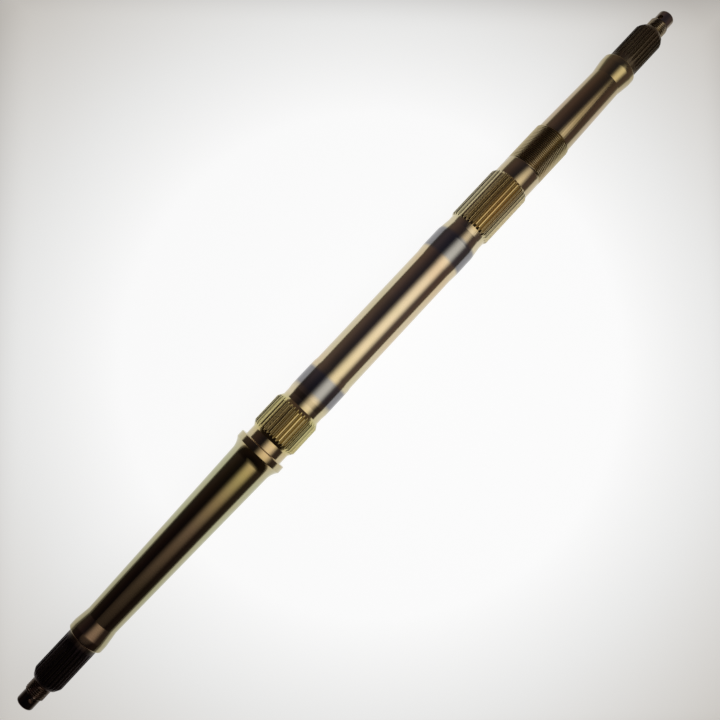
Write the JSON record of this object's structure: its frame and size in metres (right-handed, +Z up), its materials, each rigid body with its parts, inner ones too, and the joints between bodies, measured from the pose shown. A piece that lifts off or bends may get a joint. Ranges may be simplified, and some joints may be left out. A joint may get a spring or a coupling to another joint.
{
  "type": "splined shaft",
  "caption": "Quad bike rear axle shaft: a turned steel bar with hobbed splines, ground bearing seats, a stop flange, wheel hub collars and threaded stub ends.",
  "frame": {"origin": "on the shaft's axis, halfway along its length", "axes": "+X along the axis, from the long tapered arm with the flange towards the ring nut thread; +Z up, with a gap of each spline at the top"},
  "size_m": [0.7234, 0.0416, 0.0414],
  "materials": {
    "plated_steel": "yellow zinc plate over turned steel, with two bare ground bands at the bearing seats"
  },
  "bodies": {
    "root": {"splined_shaft": "plated_steel"}
  },
  "joints": []
}
